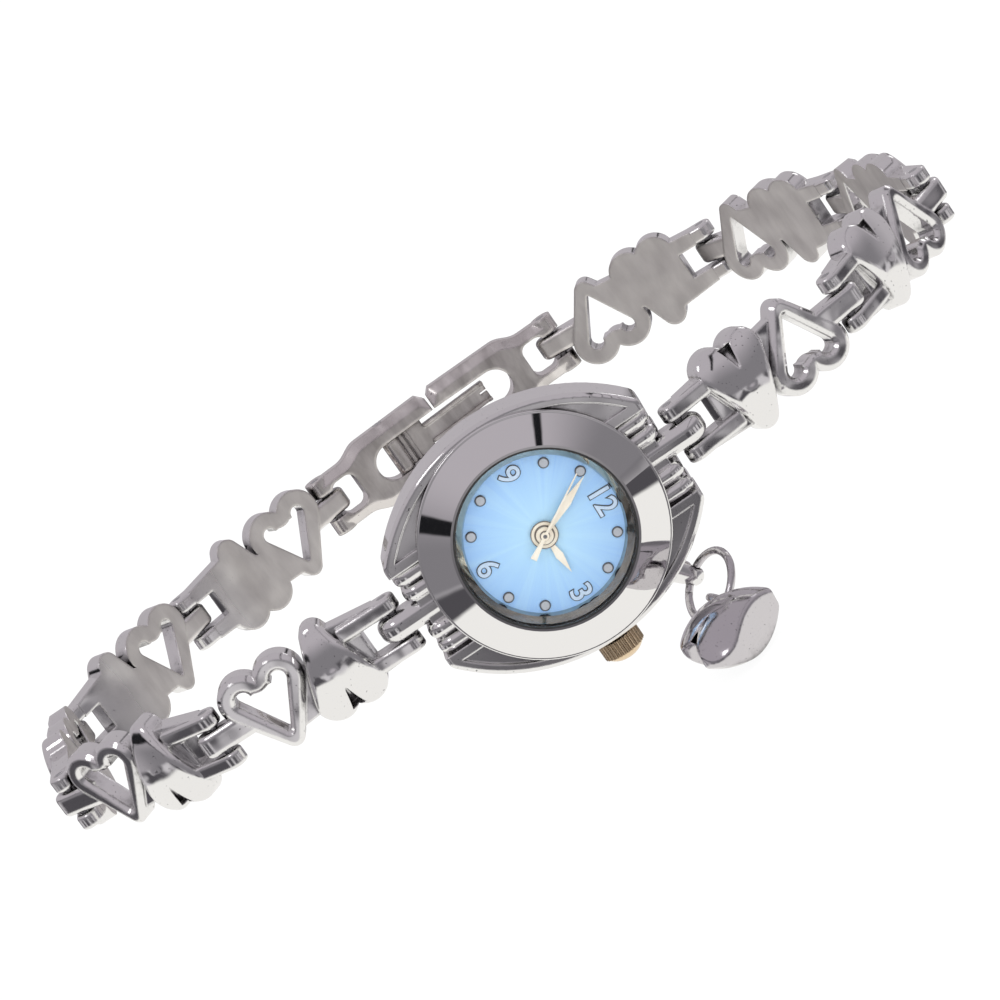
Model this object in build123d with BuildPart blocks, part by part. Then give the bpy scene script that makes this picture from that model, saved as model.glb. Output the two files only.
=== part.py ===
from build123d import *
import math
import os

os.makedirs("parts", exist_ok=True)

# Ladies' bracelet watch with heart links, lengths in millimetres.
# X runs from 6 to 12 o'clock, the dial faces -Y and +Z points to 9 o'clock.
# The origin is the middle of the case back, which faces the wrist along +Y.
# A plane's offset from Plane.XZ is a depth from the case back towards the dial.

# Case and its ends
case_half_width = 9.35
case_back_thickness = 0.5
corner_setback = 1.4
corner_half_width = 4.3
corner_round = 0.8
end_wall_setback = 2.05
case_bore_radius = 7.3
case_edge_round = 0.3
case_foot_round = 0.5
lip_width = 0.75
lip_height = 0.3
overrun = 1.0
ridge_setback = 1.45
ridge_width = 1.2
ridge_root_clearance = 0.2
ridge_round = 0.5
ridge_foot_depth = 0.7
ridge_drop = 0.3
ridge_corner_round = 1.1
ridge_places = (1.64, 2.92)

# Hinges shared by the lugs, the links and the clasp
pin_radius = 0.35
pin_seat_clearance = 0.01
pin_running_clearance = 0.05
tongue_half_width = 0.92
tongue_half_height = 0.82
tongue_overhang = 1.55
tongue_round = 0.4
slot_clearance = 0.2
ear_width = 1.2
ear_radius = 0.88
ear_length = 4.0
ear_round = 0.25
slot_depth = 2.6
lug_pin_reach = 12.2
lug_pin_depth = 2.25
lug_foot_depth = 0.95
lug_drop = 0.75
lug_round = 0.7

# Bezel, crystal and dial
bezel_step = 0.3
bezel_rim_height = 0.35
bezel_top_radius = 6.72
bezel_bore_radius = 6.55
bezel_edge_round = 0.18
spigot_radius = 7.26
spigot_height = 0.5
spigot_bore_radius = 7.0
crystal_radius = 6.4
crystal_thickness = 0.58
crystal_wall = 0.46
crystal_chamfer = 0.12
gasket_height = 0.4
flange_radius = 6.95
flange_dial_radius = 5.72
flange_wall_radius = 5.86
flange_wall_height = 0.45
flange_lip_radius = 6.3
dial_radius = 6.9
dial_thickness = 0.35
dial_hole_radius = 0.65
dot_radius = 0.4
dot_height = 0.16
dot_chamfer = 0.05
dot_circle_radius = 5.17
dot_turns = (30, 60, 120, 150, 210, 240, 300, 330)
dial_turn = 3

# Hands
hour_hand_length = 3.35
hour_hand_half_width = 0.3
hour_hub_radius = 1.0
minute_hand_length = 5.1
minute_hand_half_width = 0.32
minute_hub_radius = 0.62
second_hand_length = 5.0
second_hand_half_width = 0.09
second_tail_length = 1.85
second_tail_half_width = 0.24
second_hub_radius = 0.3
hand_thickness = 0.12
hand_gap = 0.14
hand_step = 0.12
hand_headroom = 0.16
hand_belly_share = 0.55
hour_hand_turn = 88.4
minute_hand_turn = 336.6
second_hand_turn = 330.0
arbor_radius = 0.15
cannon_radius = 0.3
hour_tube_radius = 0.5
arbor_clearance = 0.04
arbor_drop = 0.55
wheel_radius = 1.6
wheel_thickness = 0.2
wheel_headroom = 0.45

# Movement
plate_radius = 6.3
plate_foot_depth = 0.85
holder_radius = 7.25
holder_bore_radius = 6.35
holder_foot_depth = 1.35
battery_radius = 2.9
battery_thickness = 1.6
battery_foot_depth = 1.05
battery_roof = 0.65
battery_x = -3.1
battery_z = 0.9
clamp_thickness = 0.15
clamp_half_width = 0.6
coil_radius = 0.7
coil_length = 4.6
coil_x = 3.9
coil_z = 0.6
coil_depth = 2.2
coil_core_radius = 0.25
stator_thickness = 0.3
stator_foot_depth = 1.0
stator_half_width = 0.5
rotor_radius = 0.5
rotor_height = 1.3
rotor_x = 1.6
rotor_z = 2.4
rotor_foot_depth = 1.05
board_length = 5.6
board_width = 2.0
board_thickness = 0.2
board_z = -4.1
board_foot_depth = 0.88
pocket_clearance = 0.05

# Crown and stem
crown_depth = 2.6
crown_radius = 1.62
crown_gap = 0.15
crown_knurl_length = 1.2
crown_dome_height = 0.6
crown_cavity_radius = 1.25
crown_cavity_length = 0.85
crown_flutes = 32
crown_flute_radius = 0.11
crown_travel = 0.8
pendant_radius = 0.93
pendant_entry = 0.6
stem_radius = 0.35
stem_clearance = 0.07
stem_start = 2.6
neck_radius = 0.2
neck_start = 4.4
neck_length = 0.4
lever_thickness = 0.25
lever_half_width = 0.9
lever_half_height = 0.6
crown_gasket_radius = 1.23
crown_gasket_width = 0.25
crown_gasket_entry = 0.25

# Charm, its ring and the post that carries it
post_turn = 37
post_depth = 2.25
post_gap = 0.05
post_length = 2.9
post_hole_setback = 2.05
post_radius = 1.0
post_tip_radius = 0.75
post_shank_radius = 0.5
post_shank_length = 1.0
post_hole_radius = 0.52
post_hole_turn = -4
post_tip_turn = 45
ring_radius = 2.52
ring_wire_radius = 0.29
ring_gap_turn = 1.5
ring_gap_place = 150
ring_swing = 68
charm_place_turn = 12
charm_turns = (-168.1, -5.0, 71.9)
charm_lobe_radius = 1.75
charm_lobe_spread = 1.4
charm_tip_radius = 0.6
charm_height = 7.3
charm_rim = 0.7
charm_crest = 2.15
charm_round = 0.4
loop_x = -3.5
loop_y = -1.5
loop_turn = 50
loop_radius = 1.15
loop_wire_radius = 0.27
loop_stalk_radius = 0.6
loop_stalk_x = -1.1
loop_stalk_y = -0.6

# Heart links
link_pitch = 15.4
link_back = 0.9
shoulder_top = 0.55
solid_heart_place = 5.55
solid_lobe_radius = 1.6
solid_lobe_spread = 1.25
solid_heart_height = 7.5
solid_tip_radius = 1.0
solid_rim = 0.75
solid_crest = 1.65
solid_round = 0.55
crease_radius = 0.6
crease_length = 1.9
open_heart_place = 10.8
open_lobe_radius = 1.9
open_lobe_spread = 1.5
open_heart_height = 6.9
open_tip_radius = 0.8
open_band = 1.3
open_top = 0.85
open_bevel = 0.35
hole_bevel = 0.3
web_top = 0.35
web_half_width = 2.3
tongue_root = 1.9
left_turns = (5, 30, 56, 43, 19)
right_turns = (20, 29, 59, 23, 35)

# Clasp
clasp_arch = 4
clasp_gap = 0.3
frame_half_width = 2.45
frame_neck_length = 2.2
frame_belly_start = 4.6
frame_belly_half_width = 3.15
frame_nose_length = 0.5
frame_end_half_width = 2.6
frame_half_height = 0.9
frame_bevel_height = 0.45
frame_bevel_width = 0.75
window_half_width = 1.5
window_start = 4.7
hook_pin_place = 6.9
hook_pin_radius = 0.4
hook_barrel_radius = 0.72
hook_half_width = 1.35
hook_arm_half_width = 0.9
hook_thickness = 0.35
hook_plate_length = 3.0
hook_length = 9.0
hook_fold_radius = 0.2
hook_fold_places = (0.9, 1.4)
hook_rib_height = 0.3
hook_rib_width = 0.28
hook_nub_radius = 0.2
hook_side_clearance = 0.08

# Places that follow from the sizes above
corner_reach = lug_pin_reach - corner_setback
end_wall_reach = lug_pin_reach - end_wall_setback
ridge_reach = lug_pin_reach - ridge_setback
ridge_root_reach = case_bore_radius + ridge_root_clearance
wheel_depth = battery_foot_depth + battery_thickness + battery_roof
arbor_foot_depth = wheel_depth - arbor_drop
dial_seat_depth = wheel_depth + wheel_thickness + wheel_headroom
dial_face_depth = dial_seat_depth + dial_thickness
case_top_depth = dial_seat_depth + pocket_clearance + spigot_height
ridge_top_depth = case_top_depth - ridge_drop
lug_top_depth = case_top_depth - lug_drop
hour_hand_depth = dial_face_depth + hand_gap
minute_hand_depth = hour_hand_depth + hand_thickness + hand_step
second_hand_depth = minute_hand_depth + hand_thickness + hand_step
crystal_seat_depth = second_hand_depth + hand_thickness + hand_headroom
crystal_top_depth = crystal_seat_depth + crystal_thickness
bezel_top_depth = crystal_seat_depth + crystal_wall
bezel_radius = case_half_width - bezel_step
crown_start = case_half_width + crown_gap
pendant_reach = crown_start + pendant_entry
crown_gasket_place = crown_start + crown_gasket_entry
post_start = case_half_width + post_gap
post_shank_start = post_start - post_shank_length
post_hole_place = post_start + post_hole_setback
post_end = post_start + post_length


def face_of(depth):
    return Plane.XZ.offset(depth)


def tangents(x_big, y_big, big, x_small, y_small, small):
    """Points where the outer tangent touches two circles, on the +x side."""
    along_x = x_small - x_big
    along_y = y_small - y_big
    distance = math.hypot(along_x, along_y)
    cosine = (big - small) / distance
    sine = math.sqrt(1 - cosine**2)
    side = 1 if along_y < 0 else -1
    normal_x = (along_x * cosine - side * along_y * sine) / distance
    normal_y = (along_y * cosine + side * along_x * sine) / distance
    return (
        (x_big + big * normal_x, y_big + big * normal_y),
        (x_small + small * normal_x, y_small + small * normal_y),
    )


def heart_outline(x, lobe_y, tip_y, spread, lobe, tip):
    """Heart of two lobe circles and a tip circle with their tangents."""
    on_lobe, on_tip = tangents(spread, lobe_y, lobe, 0, tip_y, tip)
    with BuildSketch() as outline:
        with Locations((x - spread, lobe_y), (x + spread, lobe_y)):
            Circle(lobe)
        with Locations((x, tip_y)):
            Circle(tip)
        with BuildLine():
            Polyline(
                (x + on_lobe[0], on_lobe[1]),
                (x + on_tip[0], on_tip[1]),
                (x - on_tip[0], on_tip[1]),
                (x - on_lobe[0], on_lobe[1]),
                (x - spread, lobe_y),
                (x + spread, lobe_y),
                close=True,
            )
        make_face()
    return outline.sketch


def puffed_drop(x_big, y_big, big, x_small, y_small, small):
    """Ball that tapers to a smaller ball, turned about the line of centres."""
    along = Vector(x_small - x_big, y_small - y_big, 0)
    distance = along.length
    cosine = (big - small) / distance
    sine = math.sqrt(1 - cosine**2)
    bisector = math.sqrt((1 + cosine) / 2)
    half_sine = math.sqrt((1 - cosine) / 2)
    spine = Plane(origin=(x_big, y_big, 0), x_dir=along.normalized(), z_dir=(0, 0, 1))
    with BuildPart() as drop:
        with BuildSketch(spine):
            with BuildLine():
                Line((-big, 0), (distance + small, 0))
                ThreePointArc(
                    (distance + small, 0),
                    (distance + small * bisector, small * half_sine),
                    (distance + small * cosine, small * sine),
                )
                Line(
                    (distance + small * cosine, small * sine),
                    (big * cosine, big * sine),
                )
                ThreePointArc(
                    (big * cosine, big * sine),
                    (-big * half_sine, big * bisector),
                    (-big, 0),
                )
            make_face()
        revolve(axis=Axis(spine.origin, spine.x_dir))
    return drop.part


def puffed_heart(lobe_y, tip_y, spread, lobe, tip, foot, rim, crest, rounding):
    """Heart under a dome, its rim rounded, with a crease that runs in from the notch."""
    side = math.copysign(1, lobe_y - tip_y)
    top_y = lobe_y + side * lobe
    middle_y = (top_y + tip_y - side * tip) / 2
    reach = abs(top_y - middle_y)
    ball = (reach**2 + (crest - rim) ** 2) / (2 * (crest - rim))
    notch = Vector(0, lobe_y + side * math.sqrt(lobe**2 - spread**2), rim)
    inward = Vector(0, -side * crease_length, crest - rim)
    with BuildPart() as heart:
        with BuildSketch(Plane.XY.offset(foot)):
            add(heart_outline(0, lobe_y, tip_y, spread, lobe, tip))
        extrude(amount=crest - foot)
        with Locations((0, middle_y, crest - ball)):
            Sphere(ball, mode=Mode.INTERSECT)
        fillet(
            heart.edges().filter_by(GeomType.LINE, reverse=True)
            .filter_by(lambda edge: edge.center().Z > rim / 2),
            rounding,
        )
        with Locations(Plane(origin=notch, z_dir=inward)):
            Cone(
                crease_radius,
                0,
                inward.length,
                align=(Align.CENTER, Align.CENTER, Align.MIN),
                mode=Mode.SUBTRACT,
            )
    return heart.part


def put(solid, seat, label):
    """A copy of a piece drawn at the origin, moved to its seat and written."""
    placed = seat.location * solid
    placed.label = label
    export_step(placed, f"parts/{label}.step")
    return placed


def write(piece, label):
    piece.part.label = label
    export_step(piece.part, f"parts/{label}.step")


# Case body: a barrel outline with reeded ends and a central lug at 12 and 6
slot_half_width = tongue_half_width + slot_clearance
ear_reach = slot_half_width + ear_width

with BuildPart() as lug_bar:
    with BuildSketch(Plane.XY):
        with BuildLine():
            Line((ridge_root_reach, -lug_foot_depth), (lug_pin_reach, -lug_foot_depth))
            lug_lower = Line(
                (lug_pin_reach, -lug_foot_depth),
                (lug_pin_reach + tongue_overhang / 2, -lug_foot_depth),
            )
            lug_nose = ThreePointArc(
                lug_lower @ 1,
                (lug_pin_reach + tongue_overhang, -lug_pin_depth),
                (lug_pin_reach, -lug_top_depth),
            )
            Line(lug_nose @ 1, (ridge_root_reach, -lug_top_depth))
            Line((ridge_root_reach, -lug_top_depth), (ridge_root_reach, -lug_foot_depth))
        make_face()
    extrude(amount=tongue_half_width, both=True)
    fillet(
        lug_bar.edges().filter_by(lambda edge: abs(edge.center().Z) > tongue_half_width / 2)
        .filter_by(lambda edge: edge.center().X > ridge_root_reach),
        lug_round,
    )

with BuildPart() as ridge_bar:
    with BuildSketch(Plane.XY):
        with Locations(((ridge_root_reach + ridge_reach) / 2, -(ridge_foot_depth + ridge_top_depth) / 2)):
            Rectangle(ridge_reach - ridge_root_reach, ridge_top_depth - ridge_foot_depth)
    extrude(amount=ridge_width / 2, both=True)
    fillet(
        ridge_bar.edges().filter_by(Axis.Z).group_by(Axis.X)[-1].sort_by(Axis.Y)[0],
        ridge_corner_round,
    )
    fillet(
        ridge_bar.edges().filter_by(lambda edge: abs(edge.center().Z) > ridge_width / 4)
        .filter_by(lambda edge: edge.center().X > ridge_root_reach + ridge_round)
        .filter_by(lambda edge: edge.center().Y < -ridge_foot_depth - ridge_round),
        ridge_round,
    )

post_axis = Vector(math.sin(math.radians(post_turn)), 0, -math.cos(math.radians(post_turn)))
crown_line = Plane(origin=(0, -crown_depth, 0), x_dir=(1, 0, 0), z_dir=(0, 0, -1))
post_line = Plane(origin=(0, -post_depth, 0), x_dir=(0, 1, 0), z_dir=post_axis)

with BuildSketch() as case_outline:
    with BuildLine():
        side_arc = ThreePointArc(
            (-corner_reach, corner_half_width),
            (0, case_half_width),
            (corner_reach, corner_half_width),
        )
        end_line = Line(side_arc @ 1, (corner_reach, -corner_half_width))
        other_arc = ThreePointArc(
            end_line @ 1,
            (0, -case_half_width),
            (-corner_reach, -corner_half_width),
        )
        Line(other_arc @ 1, side_arc @ 0)
    make_face()

reeds_half_width = ridge_places[1] + ridge_width / 2
with BuildPart() as case_body:
    with BuildSketch(face_of(case_back_thickness)):
        add(case_outline.sketch)
    extrude(amount=case_top_depth - case_back_thickness)
    fillet(case_body.edges().filter_by(Axis.Y), corner_round)
    long_sides = case_body.edges().filter_by(lambda edge: abs(edge.center().Z) > corner_half_width)
    fillet(long_sides.sort_by(Axis.Y)[:2], case_edge_round)
    fillet(
        case_body.edges().filter_by(lambda edge: abs(edge.center().Z) > corner_half_width)
        .sort_by(Axis.Y)[-2:],
        case_foot_round,
    )
    with BuildSketch(face_of(0)):
        end_cut_middle = (end_wall_reach + corner_reach + overrun) / 2
        with Locations((-end_cut_middle, 0), (end_cut_middle, 0)):
            Rectangle(corner_reach + overrun - end_wall_reach, 2 * reeds_half_width)
    extrude(amount=case_top_depth, mode=Mode.SUBTRACT)
    with BuildSketch(face_of(ridge_top_depth - ridge_round)):
        crest_middle = (ridge_root_reach + corner_reach + overrun) / 2
        with Locations((-crest_middle, 0), (crest_middle, 0)):
            Rectangle(corner_reach + overrun - ridge_root_reach, 2 * reeds_half_width)
        Circle(bezel_radius - bezel_edge_round, mode=Mode.SUBTRACT)
    extrude(amount=case_top_depth, mode=Mode.SUBTRACT)
    with BuildSketch(face_of(case_top_depth - lip_height)):
        add(case_outline.sketch)
        offset(amount=-lip_width)
        Rectangle(2 * corner_reach, 2 * (reeds_half_width + lip_width), mode=Mode.SUBTRACT)
        Circle(bezel_radius - bezel_edge_round, mode=Mode.SUBTRACT)
    extrude(amount=lip_height + overrun, mode=Mode.SUBTRACT)
    for end_turn in (0, 180):
        with Locations(Rotation(0, end_turn, 0)):
            add(lug_bar.part)
        for ridge_place in ridge_places:
            for ridge_side in (-1, 1):
                with Locations(Location((0, 0, ridge_side * ridge_place)) * Rotation(0, end_turn, 0)):
                    add(ridge_bar.part)
    with BuildSketch(face_of(0)):
        Circle(case_bore_radius)
    extrude(amount=case_top_depth + overrun, mode=Mode.SUBTRACT)
    with BuildSketch(crown_line.offset(case_bore_radius + stem_clearance)):
        Circle(pendant_radius)
    extrude(amount=pendant_reach - case_bore_radius - stem_clearance)
    with BuildSketch(crown_line.offset(case_bore_radius - overrun)):
        Circle(stem_radius + stem_clearance)
    extrude(amount=pendant_reach, mode=Mode.SUBTRACT)
    with BuildSketch(post_line.offset(post_start)):
        Circle(post_radius + pocket_clearance)
    extrude(amount=overrun, mode=Mode.SUBTRACT)
    with BuildSketch(post_line.offset(post_shank_start)):
        Circle(post_shank_radius + pin_seat_clearance)
    extrude(amount=post_start - post_shank_start, mode=Mode.SUBTRACT)
    for pin_x in (-lug_pin_reach, lug_pin_reach):
        with BuildSketch(Plane.XY.offset(-ear_reach)):
            with Locations((pin_x, -lug_pin_depth)):
                Circle(pin_radius + pin_running_clearance)
        extrude(amount=2 * ear_reach, mode=Mode.SUBTRACT)
write(case_body, "case_body")

# Snap back with a raised rim that enters the case, and its seal
back_radius = case_half_width - 2 * case_foot_round
plug_radius = case_bore_radius - pocket_clearance
plug_bore_radius = holder_radius - 2 * case_edge_round
seal_groove = 2 * case_edge_round / 3
seal_depth = case_back_thickness + seal_groove
with BuildPart() as case_back:
    with BuildSketch(face_of(0)):
        Circle(back_radius)
    extrude(amount=case_back_thickness)
    with BuildSketch(face_of(case_back_thickness)):
        Circle(plug_radius)
        Circle(plug_bore_radius, mode=Mode.SUBTRACT)
    extrude(amount=holder_foot_depth - case_back_thickness - pocket_clearance)
    with BuildSketch(face_of(seal_depth)):
        Circle(plug_radius + overrun)
        Circle(plug_radius - seal_groove, mode=Mode.SUBTRACT)
    extrude(amount=seal_groove, mode=Mode.SUBTRACT)
    chamfer(case_back.faces().sort_by(Axis.Y)[-1].edges(), case_back_thickness / 3)
write(case_back, "case_back")

with BuildPart() as case_back_gasket:
    with BuildSketch(face_of(seal_depth)):
        Circle(case_bore_radius)
        Circle(plug_radius - seal_groove, mode=Mode.SUBTRACT)
    extrude(amount=seal_groove)
write(case_back_gasket, "case_back_gasket")

# Bezel: a rounded rim, a broad polished cone and a spigot in the case bore
with BuildPart() as bezel:
    with BuildSketch(Plane.XY):
        with BuildLine():
            Polyline(
                (spigot_bore_radius, spigot_height - case_top_depth),
                (spigot_radius, spigot_height - case_top_depth),
                (spigot_radius, -case_top_depth),
                (bezel_radius, -case_top_depth),
                (bezel_radius, -case_top_depth - bezel_rim_height),
                (bezel_radius - bezel_edge_round, -case_top_depth - bezel_rim_height),
                (bezel_top_radius, -bezel_top_depth),
                (bezel_bore_radius, -bezel_top_depth),
                (bezel_bore_radius, -crystal_seat_depth),
                (spigot_bore_radius, -crystal_seat_depth),
                close=True,
            )
        make_face()
    revolve(axis=Axis.Y)
    fillet(
        bezel.edges().filter_by(GeomType.CIRCLE).sort_by(SortBy.RADIUS)[-3:],
        bezel_edge_round / 2,
    )
write(bezel, "bezel")

with BuildPart() as crystal:
    with BuildSketch(face_of(crystal_seat_depth)):
        Circle(crystal_radius)
    extrude(amount=crystal_top_depth - crystal_seat_depth)
    chamfer(crystal.faces().sort_by(Axis.Y)[0].edges(), crystal_chamfer)
write(crystal, "crystal")

with BuildPart() as crystal_gasket:
    with BuildSketch(face_of(crystal_seat_depth)):
        Circle(bezel_bore_radius)
        Circle(crystal_radius, mode=Mode.SUBTRACT)
    extrude(amount=gasket_height)
write(crystal_gasket, "crystal_gasket")

# Inner ring between the dial and the crystal: a steep wall and a sloping ledge
with BuildPart() as flange_ring:
    with BuildSketch(Plane.XY):
        with BuildLine():
            Polyline(
                (flange_dial_radius, -dial_face_depth),
                (flange_radius, -dial_face_depth),
                (flange_radius, -crystal_seat_depth),
                (flange_lip_radius, -crystal_seat_depth),
                (flange_wall_radius, -dial_face_depth - flange_wall_height),
                close=True,
            )
        make_face()
    revolve(axis=Axis.Y)
write(flange_ring, "flange_ring")

with BuildPart() as dial:
    with BuildSketch(face_of(dial_seat_depth)):
        Circle(dial_radius)
        Circle(dial_hole_radius, mode=Mode.SUBTRACT)
    extrude(amount=dial_thickness)
write(dial, "dial")

# Round applied hour markers; the quarter hours are left for numerals
with BuildPart() as hour_markers:
    for dot_turn in dot_turns:
        hour_angle = math.radians(dot_turn + dial_turn)
        with BuildSketch(face_of(dial_face_depth)):
            with Locations(
                (
                    dot_circle_radius * math.cos(hour_angle),
                    -dot_circle_radius * math.sin(hour_angle),
                )
            ):
                Circle(dot_radius)
        extrude(amount=dot_height)
    chamfer(hour_markers.faces().group_by(Axis.Y)[0].edges(), dot_chamfer)
write(hour_markers, "hour_markers")


# Hands point along +X when drawn and are turned clockwise to the time shown
def hand_plane(depth, turn):
    angle = math.radians(turn)
    return Plane(
        origin=(0, -depth, 0),
        x_dir=(math.cos(angle), 0, -math.sin(angle)),
        z_dir=(0, -1, 0),
    )


def leaf(length, half_width, hub):
    """Pointed leaf blade that starts inside its hub."""
    with BuildSketch() as blade:
        with BuildLine():
            Polyline(
                (hub / 2, half_width / 3),
                (length * hand_belly_share, half_width),
                (length, 0),
                (length * hand_belly_share, -half_width),
                (hub / 2, -half_width / 3),
                close=True,
            )
        make_face()
    return blade.sketch


with BuildPart() as hour_hand:
    with BuildSketch(hand_plane(hour_hand_depth, hour_hand_turn)):
        add(leaf(hour_hand_length, hour_hand_half_width, hour_hub_radius))
        Circle(hour_hub_radius)
        Circle(hour_tube_radius, mode=Mode.SUBTRACT)
    extrude(amount=hand_thickness)
write(hour_hand, "hour_hand")

with BuildPart() as minute_hand:
    with BuildSketch(hand_plane(minute_hand_depth, minute_hand_turn)):
        add(leaf(minute_hand_length, minute_hand_half_width, minute_hub_radius))
        Circle(minute_hub_radius)
        Circle(cannon_radius, mode=Mode.SUBTRACT)
    extrude(amount=hand_thickness)
write(minute_hand, "minute_hand")

with BuildPart() as second_hand:
    with BuildSketch(hand_plane(second_hand_depth, second_hand_turn)):
        with BuildLine():
            Polyline(
                (0, second_hand_half_width),
                (second_hand_length, second_hand_half_width / 2),
                (second_hand_length, -second_hand_half_width / 2),
                (0, -second_hand_half_width),
                (-second_tail_length, -second_tail_half_width),
                (-second_tail_length, second_tail_half_width),
                close=True,
            )
        make_face()
        Circle(second_hub_radius)
        Circle(arbor_radius, mode=Mode.SUBTRACT)
    extrude(amount=hand_thickness)
write(second_hand, "second_hand")

# Arbor, cannon and hour wheel, one inside the other through the dial
with BuildPart() as second_arbor:
    with BuildSketch(face_of(arbor_foot_depth)):
        Circle(arbor_radius)
    extrude(amount=second_hand_depth + hand_thickness - arbor_foot_depth)
write(second_arbor, "second_arbor")

with BuildPart() as cannon_pinion:
    with BuildSketch(face_of(arbor_foot_depth)):
        Circle(cannon_radius)
        Circle(arbor_radius + arbor_clearance, mode=Mode.SUBTRACT)
    extrude(amount=minute_hand_depth + hand_thickness - arbor_foot_depth)
write(cannon_pinion, "cannon_pinion")

with BuildPart() as hour_wheel:
    with BuildSketch(face_of(wheel_depth)):
        Circle(wheel_radius)
        Circle(cannon_radius + arbor_clearance, mode=Mode.SUBTRACT)
    extrude(amount=wheel_thickness)
    with BuildSketch(face_of(wheel_depth)):
        Circle(hour_tube_radius)
        Circle(cannon_radius + arbor_clearance, mode=Mode.SUBTRACT)
    extrude(amount=hour_hand_depth + hand_thickness - wheel_depth)
write(hour_wheel, "hour_wheel")

# Movement: main plate with its pockets, held in a plastic ring
stem_plane = crown_line.offset(stem_start - stem_clearance)
neck_plane = crown_line.offset(neck_start)
lever_start = neck_start + (neck_length - lever_thickness) / 2
with BuildPart() as main_plate:
    with BuildSketch(face_of(plate_foot_depth)):
        Circle(plate_radius)
    extrude(amount=dial_seat_depth - plate_foot_depth)
    with BuildSketch(face_of(0)):
        with Locations((battery_x, battery_z)):
            Circle(battery_radius + pocket_clearance)
    extrude(amount=battery_foot_depth + battery_thickness, mode=Mode.SUBTRACT)
    with BuildSketch(face_of(0)):
        with Locations((coil_x, coil_z)):
            Rectangle(
                2 * (coil_radius + pocket_clearance),
                coil_length + 2 * pocket_clearance,
            )
    extrude(amount=coil_depth + coil_radius + pocket_clearance, mode=Mode.SUBTRACT)
    with BuildSketch(face_of(0)):
        with Locations((rotor_x, rotor_z)):
            Circle(rotor_radius + 2 * pocket_clearance)
    extrude(amount=rotor_foot_depth + rotor_height + pocket_clearance, mode=Mode.SUBTRACT)
    with BuildSketch(face_of(0)):
        with Locations(((rotor_x + coil_x) / 2, rotor_z)):
            Rectangle(
                coil_x - rotor_x + 2 * (rotor_radius + stator_half_width),
                2 * (rotor_radius + stator_half_width) + 2 * pocket_clearance,
            )
    extrude(amount=stator_foot_depth + stator_thickness, mode=Mode.SUBTRACT)
    with BuildSketch(face_of(0)):
        with Locations((0, board_z)):
            Rectangle(
                board_length + 2 * pocket_clearance,
                board_width + 2 * pocket_clearance,
            )
    extrude(amount=board_foot_depth + board_thickness, mode=Mode.SUBTRACT)
    with BuildSketch(face_of(0)):
        Circle(cannon_radius + arbor_clearance)
    extrude(amount=dial_face_depth, mode=Mode.SUBTRACT)
    with BuildSketch(face_of(wheel_depth - pocket_clearance)):
        Circle(wheel_radius + pocket_clearance)
    extrude(amount=dial_face_depth, mode=Mode.SUBTRACT)
    with BuildSketch(stem_plane):
        Circle(stem_radius + stem_clearance)
    extrude(amount=plate_radius, mode=Mode.SUBTRACT)
    with BuildSketch(crown_line.offset(lever_start - pocket_clearance)):
        Rectangle(
            2 * (lever_half_width + pocket_clearance),
            2 * (lever_half_height + pocket_clearance),
        )
    extrude(
        amount=lever_thickness + crown_travel + 2 * pocket_clearance,
        mode=Mode.SUBTRACT,
    )
write(main_plate, "main_plate")

with BuildPart() as movement_holder:
    with BuildSketch(face_of(holder_foot_depth)):
        Circle(holder_radius)
        Circle(holder_bore_radius, mode=Mode.SUBTRACT)
    extrude(amount=dial_seat_depth - holder_foot_depth)
    with BuildSketch(face_of(dial_seat_depth - pocket_clearance)):
        Circle(holder_radius + overrun)
        Circle(spigot_bore_radius - pocket_clearance, mode=Mode.SUBTRACT)
    extrude(amount=spigot_height, mode=Mode.SUBTRACT)
    with BuildSketch(crown_line):
        Circle(stem_radius + stem_clearance)
    extrude(amount=case_half_width, mode=Mode.SUBTRACT)
write(movement_holder, "movement_holder")

with BuildPart() as battery:
    with BuildSketch(face_of(battery_foot_depth)):
        with Locations((battery_x, battery_z)):
            Circle(battery_radius)
    extrude(amount=battery_thickness)
    chamfer(battery.faces().sort_by(Axis.Y)[0].edges(), clamp_thickness)
write(battery, "battery")

with BuildPart() as battery_clamp:
    with BuildSketch(face_of(battery_foot_depth - clamp_thickness)):
        with Locations((battery_x, battery_z)):
            Rectangle(2 * (battery_radius - clamp_half_width), 2 * clamp_half_width)
            Circle(2 * clamp_half_width)
    extrude(amount=clamp_thickness)
write(battery_clamp, "battery_clamp")

coil_plane = Plane(
    origin=(coil_x, -coil_depth, coil_z - coil_length / 2),
    x_dir=(1, 0, 0),
    z_dir=(0, 0, 1),
)
coil_flange = 2 * coil_core_radius
with BuildPart() as coil:
    with BuildSketch(coil_plane):
        Circle(coil_core_radius)
    extrude(amount=coil_length)
    with BuildSketch(coil_plane.offset(coil_flange)):
        Circle(coil_radius)
    extrude(amount=coil_length - 2 * coil_flange)
write(coil, "coil")

with BuildPart() as stator:
    with BuildSketch(face_of(stator_foot_depth)):
        with Locations(((rotor_x + coil_x) / 2, rotor_z)):
            Rectangle(
                coil_x - rotor_x + 2 * (rotor_radius + stator_half_width) - pocket_clearance,
                2 * (rotor_radius + stator_half_width),
            )
        with Locations((rotor_x, rotor_z)):
            Circle(rotor_radius + 2 * pocket_clearance, mode=Mode.SUBTRACT)
    extrude(amount=stator_thickness)
write(stator, "stator")

with BuildPart() as rotor:
    with BuildSketch(face_of(rotor_foot_depth)):
        with Locations((rotor_x, rotor_z)):
            Circle(rotor_radius)
    extrude(amount=rotor_height)
write(rotor, "rotor")

with BuildPart() as circuit_board:
    with BuildSketch(face_of(board_foot_depth)):
        with Locations((0, board_z)):
            RectangleRounded(board_length, board_width, board_thickness)
    extrude(amount=board_thickness)
write(circuit_board, "circuit_board")

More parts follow.
